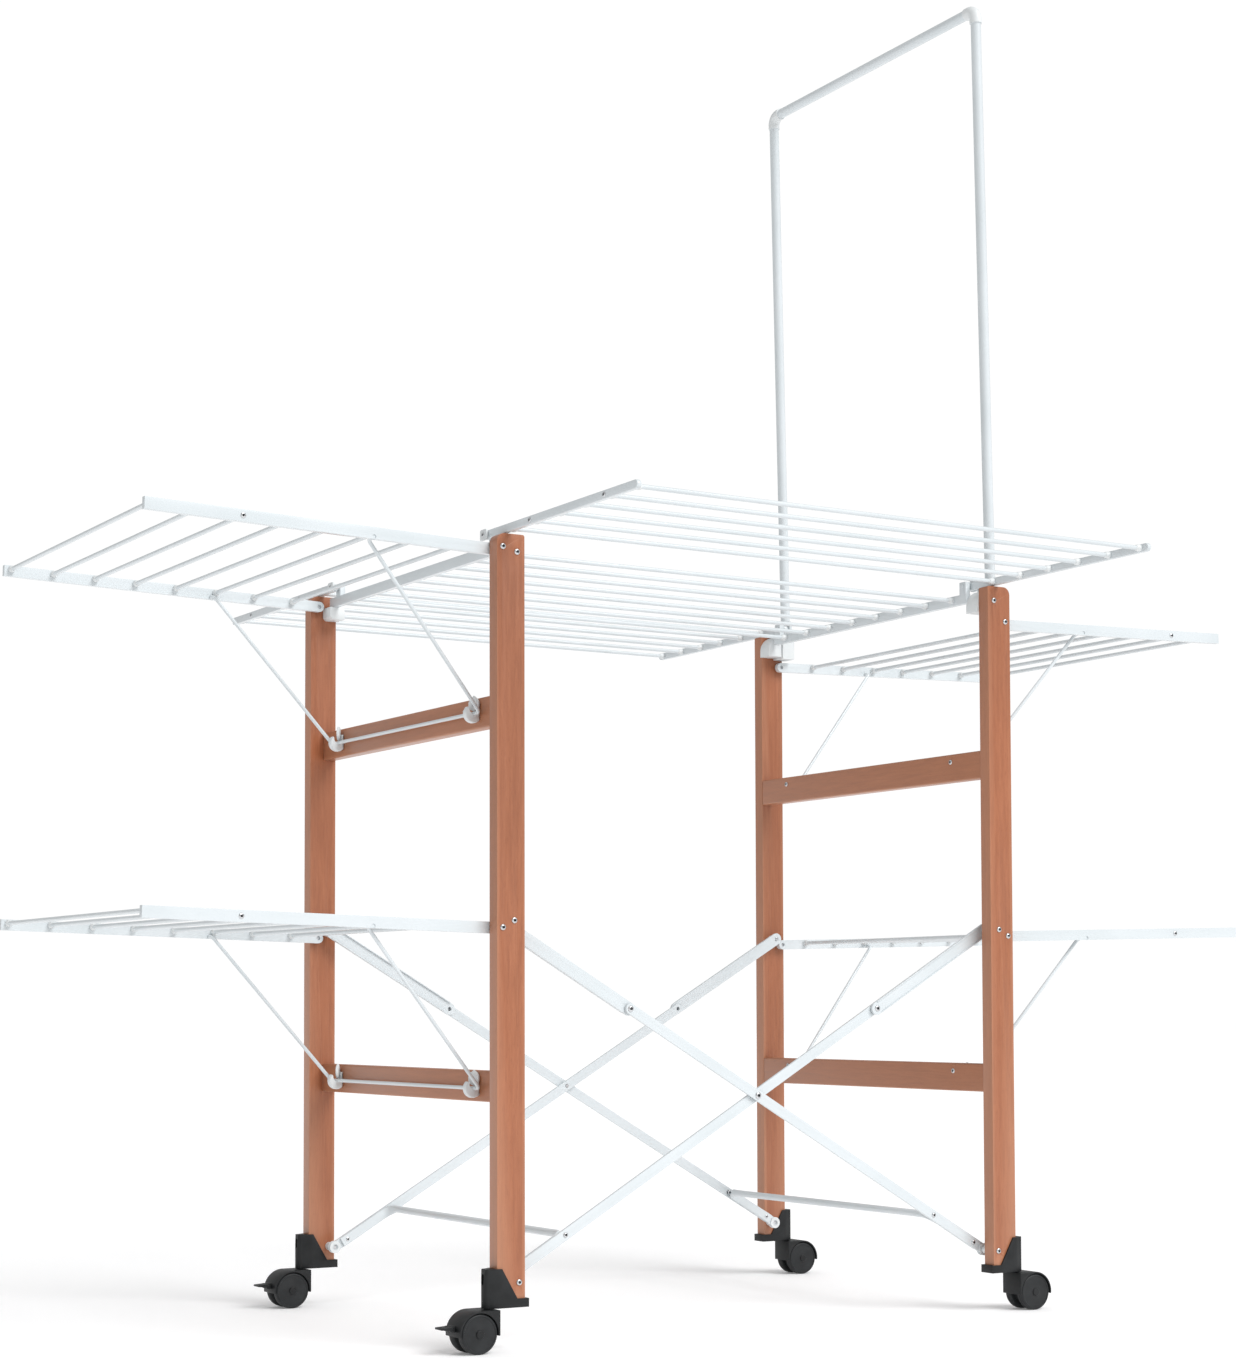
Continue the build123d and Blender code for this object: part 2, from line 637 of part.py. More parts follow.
with BuildPart() as tubes:
    for f in FACES.values():
        base = Plane(origin=(TUBE_LOW[0], f * TUBE_Y, TUBE_LOW[1]), x_dir=(0, 1, 0), z_dir=tube_dir)
        with BuildSketch(base):
            Circle(TUBE_R)
            Circle(TUBE_R - TUBE_WALL, mode=Mode.SUBTRACT)
        extrude(amount=math.dist(TUBE_LOW, TUBE_TOP) - ELBOW_LEG)
    rail_end = Plane(origin=(TUBE_TOP[0], ELBOW_LEG - TUBE_Y, TUBE_TOP[1]),
                     x_dir=(1, 0, 0), z_dir=(0, 1, 0))
    with BuildSketch(rail_end):
        Circle(TUBE_R)
        Circle(TUBE_R - TUBE_WALL, mode=Mode.SUBTRACT)
    extrude(amount=2 * (TUBE_Y - ELBOW_LEG))
save(tubes, "hanger_tubes")

with BuildPart() as elbows:
    for f in FACES.values():
        low = (TUBE_TOP[0] - ELBOW_LEG * tube_dir[0], f * TUBE_Y, TUBE_TOP[1] - ELBOW_LEG * tube_dir[2])
        with BuildLine():
            FilletPolyline(low, (TUBE_TOP[0], f * TUBE_Y, TUBE_TOP[1]),
                           (TUBE_TOP[0], f * (TUBE_Y - ELBOW_LEG), TUBE_TOP[1]), radius=14)
        with BuildSketch(Plane(origin=low, x_dir=(0, 1, 0), z_dir=tube_dir)):
            Circle(TUBE_R + 1.5)
        sweep()
save(elbows, "hanger_elbows")
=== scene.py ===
"""A folding clothes drying rack on casters: materials, fine detail, floor, light and camera."""
import json
import math

import bmesh
import bpy
from mathutils import Euler, Matrix, Vector


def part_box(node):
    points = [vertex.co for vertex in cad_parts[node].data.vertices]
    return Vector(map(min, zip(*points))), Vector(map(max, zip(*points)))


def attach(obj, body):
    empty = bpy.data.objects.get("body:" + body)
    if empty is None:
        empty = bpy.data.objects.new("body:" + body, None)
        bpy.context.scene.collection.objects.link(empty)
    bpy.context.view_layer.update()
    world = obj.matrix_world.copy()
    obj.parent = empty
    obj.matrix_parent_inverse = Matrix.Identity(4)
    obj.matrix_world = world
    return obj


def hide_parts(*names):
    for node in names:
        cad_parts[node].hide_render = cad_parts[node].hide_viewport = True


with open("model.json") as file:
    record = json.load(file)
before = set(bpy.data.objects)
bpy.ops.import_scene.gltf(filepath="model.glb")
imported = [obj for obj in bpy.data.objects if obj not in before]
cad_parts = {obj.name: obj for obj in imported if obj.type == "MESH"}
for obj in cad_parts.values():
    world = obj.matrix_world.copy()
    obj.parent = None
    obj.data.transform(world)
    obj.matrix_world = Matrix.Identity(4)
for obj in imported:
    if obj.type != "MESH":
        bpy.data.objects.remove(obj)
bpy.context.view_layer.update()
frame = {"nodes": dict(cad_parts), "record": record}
record = frame["record"]
BODIES = record["behaviour"]["bodies"]
BODY_OF = {node: body for body, nodes in BODIES.items() for node in nodes}
SLOT_OF = {part["node"]: part["material_slot"] for part in record["subparts"]}
JOINTS = {joint["name"]: joint for joint in record["behaviour"]["joints"]}
SIDES = {"left": -1, "right": 1}
FACES = {"front": -1, "back": 1}
BRACES = {"a": "left", "b": "right"}
WINGS = ("upper_left", "lower_left", "upper_right", "lower_right")


# ------------------------------------------------------------------ camera
SENSOR_WIDTH, LENS = 36, 72.7369
SHIFT_X, SHIFT_Y = 0.0351942, 0.1727346
CAMERA_SPOT = (-1.937, -3.0537, 0.4305)
CAMERA_YAW, CAMERA_PITCH, CAMERA_ROLL = 30.549, 2.656, -0.093


def make_camera():
    """The viewing angle, lens and framing that fit the open rack on an upright frame."""
    data = bpy.data.cameras.new("camera")
    data.sensor_fit = "HORIZONTAL"
    data.sensor_width = SENSOR_WIDTH
    data.lens = LENS
    data.shift_x = SHIFT_X
    data.shift_y = SHIFT_Y
    data.clip_end = 60
    camera = bpy.data.objects.new("camera", data)
    bpy.context.scene.collection.objects.link(camera)
    yaw, pitch, roll = (math.radians(angle) for angle in (CAMERA_YAW, CAMERA_PITCH, CAMERA_ROLL))
    camera.location = CAMERA_SPOT
    turn = Euler((math.pi / 2 + pitch, 0, -yaw), "XYZ").to_matrix() @ Matrix.Rotation(roll, 3, "Z")
    camera.rotation_euler = turn.to_euler()
    bpy.context.scene.camera = camera


# ------------------------------------------------------------------ materials
class Nodes:
    """Short calls for building one material's node tree."""

    def __init__(self, name):
        self.material = bpy.data.materials.new(name)
        self.material.use_nodes = True
        self.tree = self.material.node_tree
        self.shader = self.tree.nodes["Principled BSDF"]

    def add(self, kind, **values):
        node = self.tree.nodes.new(kind)
        for key, value in values.items():
            setattr(node, key, value)
        return node

    def link(self, start, end):
        self.tree.links.new(start, end)

    def coords(self, scale, offset=(0, 0, 0)):
        place = self.add("ShaderNodeTexCoord")
        mapping = self.add("ShaderNodeMapping")
        mapping.inputs["Scale"].default_value = scale
        mapping.inputs["Location"].default_value = offset
        self.link(place.outputs["Object"], mapping.inputs["Vector"])
        return mapping.outputs["Vector"]

    def noise(self, vector, scale, detail=3, rough=0.55, distortion=0.0):
        node = self.add("ShaderNodeTexNoise")
        node.inputs["Scale"].default_value = scale
        node.inputs["Detail"].default_value = detail
        node.inputs["Roughness"].default_value = rough
        node.inputs["Distortion"].default_value = distortion
        self.link(vector, node.inputs["Vector"])
        return node.outputs["Fac"]

    def ramp(self, factor, stops):
        node = self.add("ShaderNodeValToRGB")
        elements = node.color_ramp.elements
        while len(elements) < len(stops):
            elements.new(0.5)
        for element, (place, colour) in zip(elements, stops):
            element.position = place
            element.color = (*colour, 1)
        self.link(factor, node.inputs["Fac"])
        return node.outputs["Color"]

    def mix(self, factor, first, second, kind="MIX"):
        node = self.add("ShaderNodeMix", data_type="RGBA", blend_type=kind)
        for value, socket in ((factor, node.inputs[0]), (first, node.inputs[6]), (second, node.inputs[7])):
            if isinstance(value, bpy.types.NodeSocket):
                self.link(value, socket)
            else:
                socket.default_value = value if isinstance(value, (int, float)) else (*value, 1)
        return node.outputs[2]

    def span(self, factor, low, high):
        node = self.add("ShaderNodeMapRange")
        node.inputs["To Min"].default_value = low
        node.inputs["To Max"].default_value = high
        self.link(factor, node.inputs["Value"])
        return node.outputs["Result"]

    def bump(self, height, distance, strength=1.0, below=None):
        node = self.add("ShaderNodeBump")
        node.inputs["Distance"].default_value = distance
        node.inputs["Strength"].default_value = strength
        self.link(height, node.inputs["Height"])
        if below is not None:
            self.link(below, node.inputs["Normal"])
        return node.outputs["Normal"]

    def set(self, **values):
        for key, value in values.items():
            socket = self.shader.inputs[key.replace("_", " ")]
            if isinstance(value, bpy.types.NodeSocket):
                self.link(value, socket)
            else:
                socket.default_value = value


def wood(name, along, offset):
    """Stained, varnished beech, grained along one axis: fibres, flecks, colour drift and a painted
    highlight on the sharp edges.
    """
    n = Nodes(name)
    long_scale = tuple(1.0 if axis == along else 14.0 for axis in "XYZ")
    fleck_scale = tuple(1.0 if axis == along else 7.0 for axis in "XYZ")
    fibres = n.noise(n.coords(long_scale, offset), 16, 5, 0.62, 0.25)
    flecks = n.noise(n.coords(fleck_scale, offset), 95, 2, 0.5)
    bands = n.noise(n.coords(long_scale, offset), 4.2, 2, 0.5, 0.6)
    drift = n.noise(n.coords((1, 1, 1), offset), 2.6, 2, 0.5)
    tones = [(0.28, (0.29, 0.094, 0.039)), (0.5, (0.352, 0.119, 0.05)), (0.74, (0.405, 0.146, 0.065))]
    base = n.ramp(fibres, tones)
    banded = n.mix(n.span(bands, 0.0, 0.32), base, (0.3, 0.094, 0.037))
    fleck_amount = n.ramp(flecks, [(0.58, (0, 0, 0)), (0.72, (0.42, 0.42, 0.42))])
    flecked = n.mix(fleck_amount, banded, (0.25, 0.075, 0.03))
    tint = n.ramp(drift, [(0.3, (0.9, 0.88, 0.86)), (0.7, (1.06, 1.05, 1.04))])
    colour = n.mix(1.0, flecked, tint, "MULTIPLY")
    # painted highlight: sharp edges, found by pointiness, get a lighter colour
    edge = n.add("ShaderNodeNewGeometry").outputs["Pointiness"]
    edge_highlight = n.ramp(edge, [(0.51, (0, 0, 0)), (0.57, (0.4, 0.4, 0.4))])
    colour = n.mix(edge_highlight, colour, (0.62, 0.33, 0.2))
    fine = n.bump(fibres, 0.00022, 0.55)
    n.set(Base_Color=colour, Roughness=n.span(fibres, 0.34, 0.5), Coat_Weight=0.28, Coat_Roughness=0.22,
          Normal=n.bump(flecks, 0.00012, 0.5, fine))
    return n.material


def enamel():
    """White epoxy powder coat on steel: fine orange peel and a barely uneven white."""
    n = Nodes("white_enamel")
    peel = n.noise(n.coords((1, 1, 1)), 900, 2, 0.5)
    cloud = n.noise(n.coords((1, 1, 1)), 9, 3, 0.5)
    colour = n.ramp(cloud, [(0.3, (0.62, 0.668, 0.69)), (0.7, (0.672, 0.715, 0.738))])
    n.set(Base_Color=colour, Roughness=n.span(cloud, 0.24, 0.36), Normal=n.bump(peel, 0.00006, 0.5),
          Coat_Weight=0.35, Coat_Roughness=0.12)
    return n.material


def moulded_white():
    """Satin white nylon, a little warmer than the enamel."""
    n = Nodes("white_moulding")
    grain = n.noise(n.coords((1, 1, 1)), 1400, 2, 0.6)
    cloud = n.noise(n.coords((1, 1, 1)), 30, 2, 0.5)
    colour = n.ramp(cloud, [(0.3, (0.68, 0.71, 0.72)), (0.7, (0.735, 0.76, 0.765))])
    n.set(Base_Color=colour, Roughness=n.span(cloud, 0.38, 0.5), Normal=n.bump(grain, 0.00005, 0.6),
          Subsurface_Weight=0.04)
    n.shader.inputs["Subsurface Radius"].default_value = (0.004, 0.004, 0.004)
    return n.material


def moulded_black(name, rough, level):
    """Black nylon or tread rubber, and also the painted shade in the screw recesses, with a spark-eroded
    grain and a faint dusty lift.
    """
    n = Nodes(name)
    grain = n.noise(n.coords((1, 1, 1)), 1100, 3, 0.6)
    dust = n.noise(n.coords((1, 1, 1)), 45, 4, 0.6)
    clean = (level, level * 1.1, level * 1.2)
    dusty = (level * 2, level * 2.2, level * 2.35)
    n.set(Base_Color=n.ramp(dust, [(0.35, clean), (0.8, dusty)]), Specular_IOR_Level=0.32,
          Roughness=n.span(dust, rough - 0.06, rough + 0.1), Normal=n.bump(grain, 0.00012, 0.7))
    return n.material


def zinc():
    """Bright zinc-plated screw heads, finely scratched."""
    n = Nodes("zinc_screw")
    scratch = n.noise(n.coords((1, 1, 9)), 700, 3, 0.6)
    colour = n.ramp(scratch, [(0.3, (0.52, 0.53, 0.55)), (0.7, (0.78, 0.79, 0.8))])
    n.set(Base_Color=colour, Metallic=1.0, Roughness=n.span(scratch, 0.2, 0.38),
          Normal=n.bump(scratch, 0.00005, 0.5))
    return n.material


def floor_paint():
    """The pale floor: nearly even, with the faintest unevenness."""
    n = Nodes("pale_floor")
    cloud = n.noise(n.coords((1, 1, 1)), 1.2, 2, 0.5)
    colour = n.ramp(cloud, [(0.3, (0.955, 0.955, 0.96)), (0.7, (0.97, 0.97, 0.975))])
    n.set(Base_Color=colour, Roughness=0.7, Emission_Color=(1, 1, 1, 1), Emission_Strength=0.12)
    return n.material


POST_WOOD = {f"post_{face}_{side}": wood(f"beech_post_{face}_{side}", "Z", (s * 1.7, f * 2.3, s + f * 0.6))
             for side, s in SIDES.items() for face, f in FACES.items()}
RAIL_WOOD = {f"rail_{level}_{side}": wood(f"beech_rail_{level}_{side}", "Y", (s * 3.1, s * 0.7, h * 1.9))
             for side, s in SIDES.items() for level, h in (("upper", 1), ("lower", 2))}
ENAMEL = enamel()
WHITE = moulded_white()
BLACK = moulded_black("black_moulding", 0.42, 0.0085)
TREAD = moulded_black("black_tread", 0.46, 0.012)
ZINC = zinc()
# painted shade for the screw recesses, made as a black moulding
RECESS_SHADE = moulded_black("painted_recess_shade", 0.7, 0.01)
BY_SLOT = {"white_metal": ENAMEL, "white_plastic": WHITE, "black_plastic": BLACK, "wheel_black": TREAD,
           "screw_steel": ZINC}


def material_of(node):
    """A CAD node's finish: its own wood, or the material of its slot."""
    return POST_WOOD.get(node) or RAIL_WOOD.get(node) or BY_SLOT[SLOT_OF[node]]


# ------------------------------------------------------------------ mesh helpers
WELD = 2e-6          # vertices closer than this are one
CORNER_ANGLE = 33    # edges sharper than this, in degrees, get rounded
SMOOTH_ANGLE = 38    # faces that meet at less than this, in degrees, shade as one

# head radius, head height and shank depth of each kind of screw
SCREWS = {
    "post": (0.004, 0.0019, 0.006),
    "crossbar": (0.0034, 0.0016, 0.003),
    "crossbar_inner": (0.003, 0.0008, 0.003),
    "break_joint": (0.0042, 0.0018, 0.0035),
    "crossing": (0.0046, 0.0019, 0.0095),
    "bracket": (0.0028, 0.0016, 0.002),
    "wing_bar": (0.0036, 0.0014, 0.003),
    "flap_bar": (0.0034, 0.0013, 0.003),
    "hinge_cap": (0.0032, 0.0012, 0.002),
    "hook": (0.0026, 0.0011, 0.002),
    "hook_end": (0.0036, 0.0013, 0.003),
}


def finish_piece(name, bm, material, body, replaced=()):
    """Turns a bmesh into a named piece that rides on a body."""
    bmesh.ops.recalc_face_normals(bm, faces=bm.faces)
    mesh = bpy.data.meshes.new(name)
    bm.to_mesh(mesh)
    bm.free()
    mesh.materials.append(material)
    piece = bpy.data.objects.new(name, mesh)
    bpy.context.scene.collection.objects.link(piece)
    smooth_by_angle(mesh)
    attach(piece, body)
    if replaced:
        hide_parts(*replaced)
    return piece


def smooth_by_angle(mesh):
    """Smooth faces, with sharp edges only where faces meet at more than SMOOTH_ANGLE."""
    mesh.shade_smooth()
    mesh.set_sharp_from_angle(angle=math.radians(SMOOTH_ANGLE))


def softened(node, width, segments=3):
    """A copy of a CAD node whose corners are rounded, and which stands for it."""
    bm = bmesh.new()
    bm.from_mesh(frame["nodes"][node].data)
    bmesh.ops.remove_doubles(bm, verts=bm.verts, dist=WELD)
    bmesh.ops.dissolve_limit(bm, angle_limit=math.radians(0.6), verts=bm.verts, edges=bm.edges)
    least = math.radians(CORNER_ANGLE)
    sharp = [e for e in bm.edges if len(e.link_faces) == 2 and e.calc_face_angle(0) > least]
    bmesh.ops.bevel(bm, geom=sharp, offset=width, segments=segments, profile=0.5, affect="EDGES",
                    clamp_overlap=True)
    return finish_piece(node + "_finished", bm, material_of(node), BODY_OF[node], [node])


def lathe(bm, profile, origin, axis, steps=24):
    """Turns (distance along, radius) points about an axis through origin. The ends are closed."""
    axis = Vector(axis).normalized()
    across = axis.orthogonal().normalized()
    other = axis.cross(across)
    origin = Vector(origin)
    rings = []
    for run, radius in profile:
        centre = origin + axis * run
        if radius < 1e-6:
            rings.append([bm.verts.new(centre)])
            continue
        ring = []
        for k in range(steps):
            a = 2 * math.pi * k / steps
            ring.append(bm.verts.new(centre + (across * math.cos(a) + other * math.sin(a)) * radius))
        rings.append(ring)
    for low, high in zip(rings, rings[1:]):
        for k in range(steps):
            k2 = (k + 1) % steps
            if len(low) == 1 and len(high) > 1:
                bm.faces.new((low[0], high[k2], high[k]))
            elif len(high) == 1 and len(low) > 1:
                bm.faces.new((low[k], low[k2], high[0]))
            elif len(low) > 1:
                bm.faces.new((low[k], low[k2], high[k2], high[k]))
    for ring, turn in ((rings[0], -1), (rings[-1], 1)):
        if len(ring) > 1:
            bm.faces.new(ring[::turn])


def rounded(start, end, radius, r_round, steps=4):
    """A profile for lathe: a solid cylinder from start to end with rounded rims."""
    head = [(start, 0.0)]
    for k in range(steps + 1):
        a = math.pi / 2 * k / steps
        head.append((start + r_round * (1 - math.cos(a)), radius - r_round * (1 - math.sin(a))))
    tail = [(end - (run - start), r) for run, r in head[::-1]]
    return head + tail


def screw(heads, recess_shades, kind, spot, way):
    """A domed head on a shank, and a dark piece on the floor of its driver recess as painted shade."""
    radius, height, shank = SCREWS[kind]
    profile = [(-shank, 0), (-shank, radius * 0.55), (0, radius * 0.55), (0, radius * 0.97),
               (height * 0.28, radius), (height * 0.6, radius * 0.92), (height * 0.88, radius * 0.74),
               (height, radius * 0.58), (height * 0.97, radius * 0.5), (height * 0.25, radius * 0.44),
               (height * 0.2, 0)]
    lathe(heads, profile, spot, way, 24)
    # painted shade: a dark six-sided body fills the recess to darken it
    floor = [(height * 0.22, 0), (height * 0.22, radius * 0.42), (height * 0.5, radius * 0.4),
             (height * 0.42, 0)]
    lathe(recess_shades, floor, spot, way, 6)


def screw_pieces(name, heads, recess_shades, body, replaced=()):
    """The bright heads of one group of screws, and the dark pieces of painted shade in their recesses."""
    finish_piece(name, heads, ZINC, body, replaced)
    finish_piece(name + "_recesses", recess_shades, RECESS_SHADE, body)


def hollow_ring(start, end, outer, inner):
    """A closed tube section for lathe, drawn round its own outline."""
    edge = min(outer - inner, end - start) * 0.18
    return [(start + edge, inner), (start, inner + edge), (start, outer - edge), (start + edge, outer),
            (end - edge, outer), (end, outer - edge), (end, inner + edge), (end - edge, inner)]


def lathe_ring(bm, section, origin, axis, steps=32):
    """Turns a closed section (distance along, radius) about an axis: a ring."""
    axis = Vector(axis).normalized()
    across = axis.orthogonal().normalized()
    other = axis.cross(across)
    origin = Vector(origin)
    columns = []
    for k in range(steps):
        a = 2 * math.pi * k / steps
        out = across * math.cos(a) + other * math.sin(a)
        columns.append([bm.verts.new(origin + axis * run + out * radius) for run, radius in section])
    for k in range(steps):
        first, second = columns[k], columns[(k + 1) % steps]
        for j in range(len(section)):
            j2 = (j + 1) % len(section)
            bm.faces.new((first[j], second[j], second[j2], first[j2]))


# ------------------------------------------------------------------ wood and flat metal
def carry_over():
    """Copies with rounded arrises of the CAD nodes that have corners, and a finish for the round ones."""
    for node in POST_WOOD:
        softened(node, 0.0026, 4)
    for node in RAIL_WOOD:
        softened(node, 0.0012, 2)
    for face in FACES:
        softened(f"flap_bars_{face}", 0.0014)
        softened(f"brace_a_{face}", 0.0011)
        softened(f"brace_b_{face}", 0.0011)
        softened(f"brake_pedal_{face}", 0.0012)
        for side in SIDES:
            softened(f"caster_bracket_{face}_{side}", 0.0016)
            softened(f"caster_hood_{face}_{side}", 0.0009, 2)
    softened("grid_bars", 0.0014)
    softened("grid_hinge_pins", 0.0006, 2)
    softened("grid_catches", 0.0022)
    softened("grid_blocks_right", 0.0022)
    softened("hanger_sockets", 0.0016)
    for side in SIDES:
        softened(f"brace_links_{side}", 0.0011)
    for key in WINGS:
        softened(f"wing_bars_{key}", 0.0022, 4)
    smooth_nodes = [f"stay_{key}" for key in WINGS] + [f"wing_rods_{key}" for key in WINGS]
    smooth_nodes += [f"flap_rods_{face}" for face in FACES]
    smooth_nodes += ["grid_rods", "hanger_tubes", "hanger_elbows"]
    for node in smooth_nodes:
        frame["nodes"][node].data.materials.clear()
        frame["nodes"][node].data.materials.append(material_of(node))


# ------------------------------------------------------------------ fasteners
BLOCK_BOLT_X = 0.392
BLOCK_BOLT_Z = {"left": 1.0125, "right": 1.0145}
SPACER_RADIUS, SPACER_BORE, SPACER_GAP = 0.0058, 0.0031, 0.0003
SHANK_RADIUS, SHANK_ROUND, SHANK_REACH = 0.0029, 0.0003, 0.0055
EYE_THICK, EYE_RADIUS, EYE_BORE, EYE_GAP = 0.0016, 0.0088, 0.0042, 0.0004
CROSSBAR_START, CROSSBAR_RUN, CROSSBAR_BEND, CROSSBAR_STRAIGHT = 0.0125, 0.104, 0.016, 0.07
CROSSBAR_FIRST_SCREW = 0.0215
CROSSBAR_LEG, LEG_SINK = 0.0038, 0.0019
CROSSBAR_RADIUS, LEG_HALF_WIDTH, LEG_HALF_THICK = 0.005, 0.0068, 0.0018
LINK_WIDTH, LINK_THICK = 0.018, 0.004
FLANGE_INNER, FLANGE_OUTER, FLANGE_END, FLANGE_ROUND = 0.0074, 0.0089, 0.004, 0.0004
FLANGE_RISE = {"left": -0.0026, "right": 0.0014}
BOX_FACES = ((0, 1, 3, 2), (4, 6, 7, 5), (0, 4, 5, 1), (2, 3, 7, 6), (1, 5, 7, 3), (0, 2, 6, 4))


def joint_spot(name):
    """A point on a joint's axis."""
    return Vector(JOINTS[name]["pos_m"])


def frame_spots(side):
    """X and Z of each bolt through the two posts of one end frame."""
    s = SIDES[side]
    foot = "fold" if side == "left" else "brace_foot_right"
    names = [f"wing_upper_{side}_hinge", f"wing_lower_{side}_hinge", f"upper_links_{side}_pivot", foot]
    spots = [(joint_spot(n).x, joint_spot(n).z) for n in names]
    return spots + [(s * BLOCK_BOLT_X, BLOCK_BOLT_Z[side])]


def fasteners():
    """Domed screws on the posts, and the spacers and screw shanks behind the four pivots."""
    for side in SIDES:
        heads, recess_shades, spacers = bmesh.new(), bmesh.new(), bmesh.new()
        post_low, post_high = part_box(f"post_back_{side}")
        outer, inner = post_high[1], post_low[1]
        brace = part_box("brace_a_back" if side == "left" else "brace_b_back")[1][1]
        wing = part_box(f"wing_bars_upper_{side}")[1][1]
        reach = [wing, wing, brace, brace + EYE_THICK + EYE_GAP]
        for f in FACES.values():
            spots = frame_spots(side)
            for x, z in spots:
                screw(heads, recess_shades, "post", (x, f * outer, z), (0, f, 0))
            for (x, z), end in zip(spots, reach):
                gap = inner - end
                start, inward = (x, f * inner, z), (0, -f, 0)
                sleeve = hollow_ring(0, gap - SPACER_GAP, SPACER_RADIUS, SPACER_BORE)
                lathe_ring(spacers, sleeve, start, inward)
                shank = rounded(0.0, gap + SHANK_REACH, SHANK_RADIUS, SHANK_ROUND)
                lathe(heads, shank, start, inward, 16)
        screw_pieces(f"post_screws_{side}", heads, recess_shades, f"{side}_frame", [f"frame_bolts_{side}"])
        finish_piece(f"pivot_spacers_{side}", spacers, WHITE, f"{side}_frame")


def brace_line(side):
    """Where one long brace starts, the way it runs and how far along it the break joint is."""
    foot = joint_spot("fold") if side == "left" else joint_spot("brace_foot_right")
    way = (joint_spot("brace_cross") - foot).normalized()
    other = "right" if side == "left" else "left"
    link_low, link_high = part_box(f"brace_links_{other}")
    back = (link_high[0] - link_low[0] - LINK_WIDTH) / abs(way.x)
    return foot, way, (joint_spot(f"upper_links_{other}_pivot") - foot).length - back


def link_screws(break_joint):
    """The break joint screws on the right links, which lie outside their braces."""
    heads, recess_shades = bmesh.new(), bmesh.new()
    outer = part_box("brace_links_right")[1][1]
    for f in FACES.values():
        screw(heads, recess_shades, "break_joint", (break_joint.x, f * outer, break_joint.z), (0, f, 0))
    screw_pieces("link_screws_right", heads, recess_shades, "upper_links_right")


def brace_fittings():
    """Screws at the crossing, the break joints and the crossbars, and the eyes at the feet."""
    link_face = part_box("brace_links_right")[1][1]
    cross_z = joint_spot("brace_cross").z
    eye = hollow_ring(0, EYE_THICK, EYE_RADIUS, EYE_BORE)
    for letter, side in BRACES.items():
        foot, way, joint_run = brace_line(side)
        low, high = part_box(f"brace_{letter}_back")
        heads, recess_shades, eyes = bmesh.new(), bmesh.new(), bmesh.new()
        break_joint = foot + way * joint_run
        for f in FACES.values():
            for run in (CROSSBAR_FIRST_SCREW, CROSSBAR_RUN):
                spot = foot + way * run
                screw(heads, recess_shades, "crossbar", (spot.x, f * high[1], spot.z), (0, f, 0))
                inner = (spot.x, f * (low[1] - CROSSBAR_LEG), spot.z)
                screw(heads, recess_shades, "crossbar_inner", inner, (0, -f, 0))
            if letter == "b":
                joint_face = (break_joint.x, f * high[1], break_joint.z)
                screw(heads, recess_shades, "break_joint", joint_face, (0, f, 0))
            else:
                screw(heads, recess_shades, "crossing", (0, f * link_face, cross_z), (0, f, 0))
            lathe_ring(eyes, eye, (foot.x, f * high[1], foot.z), (0, f, 0))
            lathe_ring(eyes, eye, (foot.x, f * low[1], foot.z), (0, -f, 0))
        body = f"scissor_{letter}"
        screw_pieces(f"brace_screws_{letter}", heads, recess_shades, body, [f"brace_rivets_{letter}"])
        finish_piece(f"brace_eyes_{letter}", eyes, WHITE, body)
        if letter == "a":
            link_screws(break_joint)


def crossbar_path(foot, way, leg_y):
    """Spots and directions along a crossbar: out along one leg, round its bend, across and back."""
    across = Vector((0, 1, 0))
    near, far = foot + way * CROSSBAR_START, foot + way * CROSSBAR_RUN
    bend_start = far - way * CROSSBAR_BEND
    half = [(near, -leg_y, Vector(way)), (bend_start, -leg_y, Vector(way))]
    for k in range(1, 9):
        a = math.pi / 2 * k / 8
        spot = bend_start + way * (CROSSBAR_BEND * math.sin(a))
        tangent = way * math.cos(a) + across * math.sin(a)
        half.append((spot, -leg_y + CROSSBAR_BEND * (1 - math.cos(a)), tangent))
    for k in range(1, 7):
        half.append((far, -leg_y + CROSSBAR_BEND + CROSSBAR_STRAIGHT * k / 6, across.copy()))
    path = [(Vector((p.x, y, p.z)), t) for p, y, t in half]
    path += [(Vector((p.x, -p.y, p.z)), Vector((-t.x, t.y, -t.z))) for p, t in path[::-1]]
    return path


def pressed_tube(bm, path, flat, points=24, flat_steps=3, blend_steps=9):
    """A bar along a path: pressed flat near both ends, and round from there to its middle."""
    rings = []
    for n, (spot, tangent) in enumerate(path):
        step = min(n, len(path) - 1 - n)
        blend = min(max((step - flat_steps) / blend_steps, 0), 1)
        blend = blend * blend * (3 - 2 * blend)
        wide = LEG_HALF_WIDTH + (CROSSBAR_RADIUS - LEG_HALF_WIDTH) * blend
        thick = LEG_HALF_THICK + (CROSSBAR_RADIUS - LEG_HALF_THICK) * blend
        side_way = tangent.cross(flat)
        power = 0.45 + 0.55 * blend
        ring = []
        for k in range(points):
            a = 2 * math.pi * k / points
            c, d = math.cos(a), math.sin(a)
            u = math.copysign(abs(c) ** power, c) * wide
            v = math.copysign(abs(d) ** power, d) * thick
            ring.append(bm.verts.new(spot + flat * u + side_way * v))
        rings.append(ring)
    for low, high in zip(rings, rings[1:]):
        for k in range(points):
            bm.faces.new((low[k], low[(k + 1) % points], high[(k + 1) % points], high[k]))
    bm.faces.new(rings[0][::-1])
    bm.faces.new(rings[-1])


def crossbars():
    """Crossbars whose legs are pressed flat along the braces and whose middle stays round."""
    for letter, side in BRACES.items():
        foot, way, _ = brace_line(side)
        leg_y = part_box(f"brace_{letter}_back")[0][1] - LEG_SINK
        flat = way.cross(Vector((0, 1, 0))).normalized()
        bm = bmesh.new()
        pressed_tube(bm, crossbar_path(foot, way, leg_y), flat)
        finish_piece(f"crossbar_{side}_pressed", bm, ENAMEL, f"scissor_{letter}",
                     [f"crossbar_{side}"])


